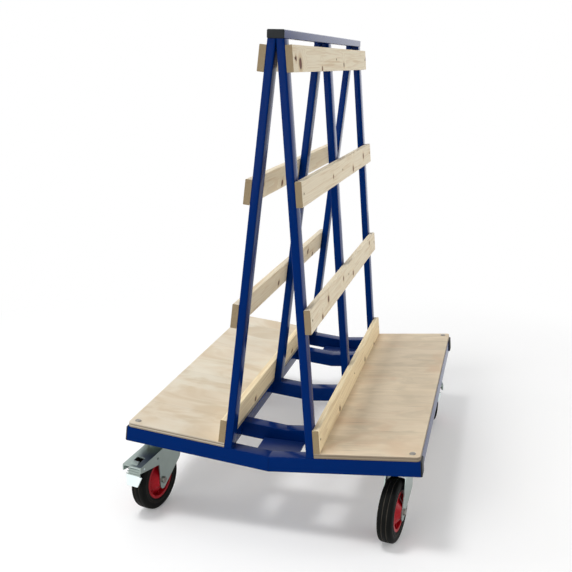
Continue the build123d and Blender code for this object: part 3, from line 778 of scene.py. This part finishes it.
class TROLLEY_OT_fasteners(bpy.types.Operator):
    """Sets screws in the battens, cup bolts in the decks and bolts and nuts on the castor plates"""
    bl_idname = "trolley.fasteners"
    bl_label = "Fasteners"

    def execute(self, context):
        finish = materials()
        self.screws(context.scene.trolley_detail.screw_sink, finish["screw"])
        self.deck_bolts(finish["fastener"])
        for node, facing in (("castor_bolts", -1), ("castor_nuts", 1)):
            self.hexagons(node, facing, finish["fastener"])
        return {"FINISHED"}

    def screws(self, sink, finish):
        """Wood screws below the battens' faces, each stopped at its own angle."""
        places = []
        for solid in islands("batten_screws"):
            centre = middle(solid)
            out = OUTWARD["right" if centre.x > 0 else "left"]
            reach = span(solid, out)[1] - centre.dot(out)
            front, rear = span(solid, ALONG)
            places.append((centre + (reach - sink) * out, out))
        form = screw_form(0.95 * (rear - front) / 2, 2 * reach - 1.2 * sink)
        fasten("wood_screws", "batten_screws", form, places, finish, spin=pi / 2, seed=3)

    def deck_bolts(self, finish):
        """Low cup heads at the outer corners of the decks."""
        crown_deep = 6 * MM
        steps = 6
        places = []
        for solid in islands("deck_bolts"):
            up = UPWARD["right" if middle(solid).x > 0 else "left"]
            top = span(solid, up)[1]
            crown = [p for p in solid if top - p.dot(up) < crown_deep]
            rise = top - span(crown, up)[0]
            front, rear = span(crown, ALONG)
            centre = middle(crown)
            places.append((centre + (top - rise - centre.dot(up)) * up, up))
        wide = (rear - front) / 2
        brim = 0.15 * rise
        turns = [pi / 2 * i / steps for i in range(steps)]
        dome = [(wide * cos(turn), brim + (rise - brim) * sin(turn)) for turn in turns]
        form = mesh_of("cup_head", rings_form([(wide, 0)] + dome + [(0.1 * wide, rise)], 32), 40)
        fasten("deck_cup_bolts", "deck_bolts", form, places, finish)

    def hexagons(self, node, facing, finish):
        """Hexagon heads or nuts, each pressed against its plate."""
        places = []
        for solid in islands(node):
            low, high = span(solid, UP)
            front, rear = span(solid, ALONG)
            place = middle(solid)
            place.z = low if facing > 0 else high
            places.append((place, facing * UP))
        form = hex_form(node, rear - front, high - low)
        fasten(f"{node}_finished", node, form, places, finish)


class TROLLEY_OT_castor_plates(bpy.types.Operator):
    """Finishes the castors' top plates and kingpins"""
    bl_idname = "trolley.castor_plates"
    bl_label = "Castor plates"

    def execute(self, context):
        edge = context.scene.trolley_detail.edge
        for node in ("castor_top_plates", "castor_kingpins"):
            dress(node, "bright_zinc", materials()["zinc"], edge, 40)
        return {"FINISHED"}


class TROLLEY_OT_forks(bpy.types.Operator):
    """Finishes the pressed forks, their axle bolts and the brake pedals"""
    bl_idname = "trolley.forks"
    bl_label = "Forks and pedals"

    def execute(self, context):
        edge = context.scene.trolley_detail.edge
        finish = materials()
        for name in CASTORS:
            dress(f"{name}_fork", "bright_zinc", finish["zinc"], edge, 40)
            dress(f"{name}_axle_bolt", "fastener_zinc", finish["fastener"], edge, 40)
        for name in BRAKED:
            # The pedals take the lighter zinc, a painted highlight
            dress(f"{name}_brake_pedal", "bright_zinc", finish["pedal"], edge, 40)
        return {"FINISHED"}


class TROLLEY_OT_brakes(bpy.types.Operator):
    """Adds the rolled lip and the bent tab of the hoods, and the leaf springs on the pedals' necks"""
    bl_idname = "trolley.brakes"
    bl_label = "Brake trim"

    def execute(self, context):
        edge = context.scene.trolley_detail.edge
        for name in BRAKED:
            place = self.shaft_frame(name)
            fork = [place.inverted() @ v.co for v in frame["nodes"][f"{name}_fork"].data.vertices]
            for title, shape, body in (("hood_trim", self.hood_trim(place, fork), "castor"),
                                       ("brake_leaves", self.leaves(place), "brake")):
                piece = new_object(f"{name}_{title}", mesh_of(f"{name}_{title}", shape, 40))
                ease(piece, edge, 40)
                settle(piece, f"{name}_{body}", "bright_zinc", materials()["zinc"])
        return {"FINISHED"}

    def shaft_frame(self, name):
        """The castor's own axes about the middle of its brake shaft: X forward, Y across, Z up."""
        forward = Vector(JOINTS[f"{name}_roll"]["pos_m"]) - Vector(JOINTS[f"{name}_swivel"]["pos_m"])
        forward.z = 0
        forward.normalize()
        turned = Matrix((forward, UP.cross(forward), UP)).transposed().to_4x4()
        return Matrix.Translation(JOINTS[f"{name}_brake_press"]["pos_m"]) @ turned

    def hood_trim(self, place, fork):
        """A rolled lip under the hood's front edge, and a tab bent up from the front of its window."""
        tip = max(p.x for p in fork)
        front_edge = [p for p in fork if tip - p.x < 1 * MM]
        top = max(p.z for p in front_edge)
        half = max(abs(p.y) for p in front_edge) - 0.5 * MM
        roll = 2.6 * MM
        shape = bmesh.new()
        lip = Matrix.Translation((tip - 1.1 * roll, 0, top - 0.9 * roll)) @ Matrix.Rotation(pi / 2, 4, "X")
        bmesh.ops.create_cone(shape, cap_ends=True, segments=20, radius1=roll, radius2=roll, depth=2 * half,
                              matrix=place @ lip)
        window_setback, tab_long, tab_wide, tab_thick = 10 * MM, 17 * MM, 27 * MM, 2.2 * MM
        tab_lean = Matrix.Rotation(radians(22), 4, "Y")
        hinge = Matrix.Translation((tip - window_setback, 0, top + 1 * MM)) @ tab_lean
        tab_size = Matrix.Diagonal((tab_long, tab_wide, tab_thick, 1))
        tab = hinge @ Matrix.Translation((-tab_long / 2, 0, 0)) @ tab_size
        bmesh.ops.create_cube(shape, size=1, matrix=place @ tab)
        return shape

    def leaves(self, place):
        """A spring plate on the neck's face with three leaf ends across it, wider towards the tread."""
        neck = Vector((8, 0, -29)) * MM
        turn = Matrix.Rotation(neck.angle(-UP), 4, "Y").inverted()
        long = neck.length
        neck_half, plate, leaf_thick, leaf_high = 2 * MM, 2.4 * MM, 3 * MM, 3.6 * MM
        # Each slab's distance from the neck's axis, share of the way down it, thickness, width and height
        slabs = [(neck_half + plate / 2, 0.56, plate, 42 * MM, 0.74 * long)]
        for share, wide in ((0.3, 46), (0.56, 50), (0.82, 54)):
            slabs.append((neck_half + plate + leaf_thick / 2, share, leaf_thick, wide * MM, leaf_high))
        shape = bmesh.new()
        for out, share, thick, wide, high in slabs:
            slab = Matrix.Translation((out, 0, -share * long)) @ Matrix.Diagonal((thick, wide, high, 1))
            bmesh.ops.create_cube(shape, size=1, matrix=place @ turn @ slab)
        return shape


class TROLLEY_OT_wheels(bpy.types.Operator):
    """Makes the grooved tyres and finishes the moulded wheel centres"""
    bl_idname = "trolley.wheels"
    bl_label = "Wheels"

    def execute(self, context):
        detail = context.scene.trolley_detail
        finish = materials()
        for name in CASTORS:
            joint = JOINTS[f"{name}_roll"]
            centre = Vector(joint["pos_m"])
            axle = Vector(joint["axis"]).normalized()
            corners = [v.co - centre for v in frame["nodes"][f"{name}_tyre"].data.vertices]
            half = max(abs(c.dot(axle)) for c in corners)
            radii = [(c - c.dot(axle) * axle).length for c in corners]
            profile = self.tyre_profile(half, min(radii), max(radii), detail)
            tyre = new_object(f"{name}_tyre_finished", lathe("tyre", profile, centre, axle, 96))
            settle(tyre, f"{name}_wheel", "tyre_rubber", finish["rubber"], f"{name}_tyre")
            dress(f"{name}_wheel_centre", "red_wheel", finish["wheel"], detail.edge, 35)
        return {"FINISHED"}

    def tyre_profile(self, half, seat, edge, detail):
        """Half a section from the tread's middle to the rim, with a groove and a bead, and its mirror."""
        thick = edge - seat
        groove_at = 0.3 * half
        wide = detail.groove / 2
        deep = detail.groove_depth
        # Across the groove: place in half widths, depth and groove share
        groove = (
            (-1.4, 0, 0), (-1, 0.3 * MM, 0.3), (-0.7, deep, 1), (0.7, deep, 1), (1, 0.3 * MM, 0.3),
            (1.4, 0.1 * MM, 0),
        )
        right = [(groove_at + place * wide, edge - drop, share) for place, drop, share in groove]
        start = Vector((0.6 * half, edge - 0.5 * MM))
        across = half - start.x
        down = 0.36 * thick
        steps = 8
        for turn in (pi / 2 * i / steps for i in range(steps + 1)):
            right.append((start.x + across * sin(turn), start.y - down * (1 - cos(turn)), 0))
        # A thin rib stands on the wall, and the bead turns in under it: inset in millimetres, share of the
        # wall's height, and groove share
        wall = (
            (0.4, 0.46, 0), (1.4, 0.40, 0.25), (0.3, 0.34, 0), (1.2, 0.26, 0.25), (0.5, 0.18, 0),
            (2.2, 0.02, 0), (3.0, 0, 0),
        )
        right += [(half - inset * MM, seat + height * thick, share) for inset, height, share in wall]
        return right + [(-offset, radius, share) for offset, radius, share in reversed(right)]


class TROLLEY_OT_stage(bpy.types.Operator):
    """Sets the pale floor, the soft light and the camera"""
    bl_idname = "trolley.stage"
    bl_label = "Stage"

    def execute(self, context):
        stage = context.scene.trolley_stage
        context.scene.view_settings.view_transform = "Standard"
        self.floor()
        self.room(stage.surround)
        for name, (place, aim, wide) in LAMPS.items():
            watts = getattr(stage, name.split("_")[0])
            self.panel(name, watts, Vector(place), aim * UP, wide)
        self.camera(stage)
        return {"FINISHED"}

    def floor(self):
        """A pale floor that holds the trolley's shadow and runs out to plain white, with no horizon."""
        mesh = bpy.data.meshes.new("studio_floor")
        corners = [(x * FLOOR_REACH, y * FLOOR_REACH, 0) for x, y in ((-1, -1), (1, -1), (1, 1), (-1, 1))]
        mesh.from_pydata(corners, [], [(0, 1, 2, 3)])
        floor = new_object("studio_floor", mesh)
        material, add, where, _ = start_material("white_paper")
        seen = self.seen(add)
        paper = add("ShaderNodeBsdfDiffuse", {"Color": linear(PAPER)})
        lift = add("ShaderNodeMath", {0: seen, 1: FLOOR_GLOW}, operation="MULTIPLY")
        glow = add("ShaderNodeEmission", {"Color": (1, 1, 1), "Strength": lift})
        near = add("ShaderNodeAddShader", {0: paper, 1: glow})
        away = add("ShaderNodeVectorMath", {0: where, 1: FLOOR_MIDDLE}, operation="DISTANCE")
        start, full = FLOOR_FADE
        fade = add("ShaderNodeMapRange", {"Value": away, "From Min": start, "From Max": full},
                   interpolation_type="SMOOTHSTEP")
        share = add("ShaderNodeMath", {0: fade, 1: seen}, operation="MULTIPLY")
        white = add("ShaderNodeEmission", {"Color": (1, 1, 1), "Strength": 1.0})
        both = add("ShaderNodeMixShader", {0: share, 1: near, 2: white})
        add("ShaderNodeOutputMaterial", {"Surface": both})
        mesh.materials.append(material)

    def seen(self, add):
        """1 for the camera, glossy and transmission rays that show the background, else 0."""
        path = add("ShaderNodeLightPath").outputs
        shown = path["Is Camera Ray"]
        for ray in ("Is Glossy Ray", "Is Transmission Ray"):
            shown = add("ShaderNodeMath", {0: shown, 1: path[ray]}, operation="MAXIMUM")
        return shown

    def room(self, surround):
        """A white room: plain white where it is seen, an even soft light elsewhere."""
        world = bpy.data.worlds.new("white_room")
        bpy.context.scene.world = world
        world.use_nodes = True
        world.node_tree.nodes.clear()
        add = partial(add_node, world.node_tree)
        level = add("ShaderNodeMapRange", {"Value": self.seen(add), "To Min": surround, "To Max": 1.0})
        light = add("ShaderNodeBackground", {"Color": (1, 1, 1), "Strength": level})
        add("ShaderNodeOutputWorld", {"Surface": light})

    def panel(self, name, watts, place, target, wide):
        """A square softbox aimed at a point."""
        lamp = bpy.data.lights.new(name, "AREA")
        lamp.energy = watts
        lamp.size = wide
        box = new_object(name, lamp)
        box.visible_camera = False
        box.location = place
        box.rotation_euler = (target - place).to_track_quat("-Z", "Y").to_euler()

    def camera(self, stage):
        """The camera at the photograph's viewpoint."""
        level = Vector((cos(stage.yaw), sin(stage.yaw), 0))
        ahead = cos(stage.pitch) * UP.cross(level) - sin(stage.pitch) * UP
        rise = level.cross(ahead)
        right = cos(stage.roll) * level + sin(stage.roll) * rise
        up = cos(stage.roll) * rise - sin(stage.roll) * level
        data = bpy.data.cameras.new("camera")
        data.sensor_width = SENSOR
        data.lens = stage.lens
        camera = new_object("camera", data)
        turned = Matrix((right, up, -ahead)).transposed().to_4x4()
        camera.matrix_world = Matrix.Translation(stage.eye) @ turned
        bpy.context.scene.camera = camera


class TROLLEY_PT_panel(bpy.types.Panel):
    """The trolley's settings and the steps that finish it"""
    bl_idname = "TROLLEY_PT_panel"
    bl_label = "Glass trolley"
    bl_space_type = "VIEW_3D"
    bl_region_type = "UI"
    bl_category = "Trolley"

    def draw(self, context):
        for group in GROUPS:
            settings = getattr(context.scene, group)
            box = self.layout.box()
            for name in settings.__annotations__:
                box.prop(settings, name)
        for step in STEPS:
            self.layout.operator(step.bl_idname)


GROUPS = {"trolley_finish": TrolleyFinish, "trolley_detail": TrolleyDetail, "trolley_stage": TrolleyStage}
STEPS = (
    TROLLEY_OT_frame, TROLLEY_OT_caps, TROLLEY_OT_timber, TROLLEY_OT_fasteners, TROLLEY_OT_castor_plates,
    TROLLEY_OT_forks, TROLLEY_OT_brakes, TROLLEY_OT_wheels, TROLLEY_OT_stage,
)


def register():
    """Adds the classes and the scene's settings."""
    for name, group in GROUPS.items():
        bpy.utils.register_class(group)
        setattr(bpy.types.Scene, name, PointerProperty(type=group))
    for step in (*STEPS, TROLLEY_PT_panel):
        bpy.utils.register_class(step)


def unregister():
    """Takes the classes and the scene's settings away."""
    for step in (TROLLEY_PT_panel, *reversed(STEPS)):
        bpy.utils.unregister_class(step)
    for name, group in GROUPS.items():
        delattr(bpy.types.Scene, name)
        bpy.utils.unregister_class(group)


def main():
    """Registers the add-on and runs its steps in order."""
    register()
    for step in STEPS:
        area, name = step.bl_idname.split(".")
        getattr(getattr(bpy.ops, area), name)()


if __name__ == "__main__":
    main()
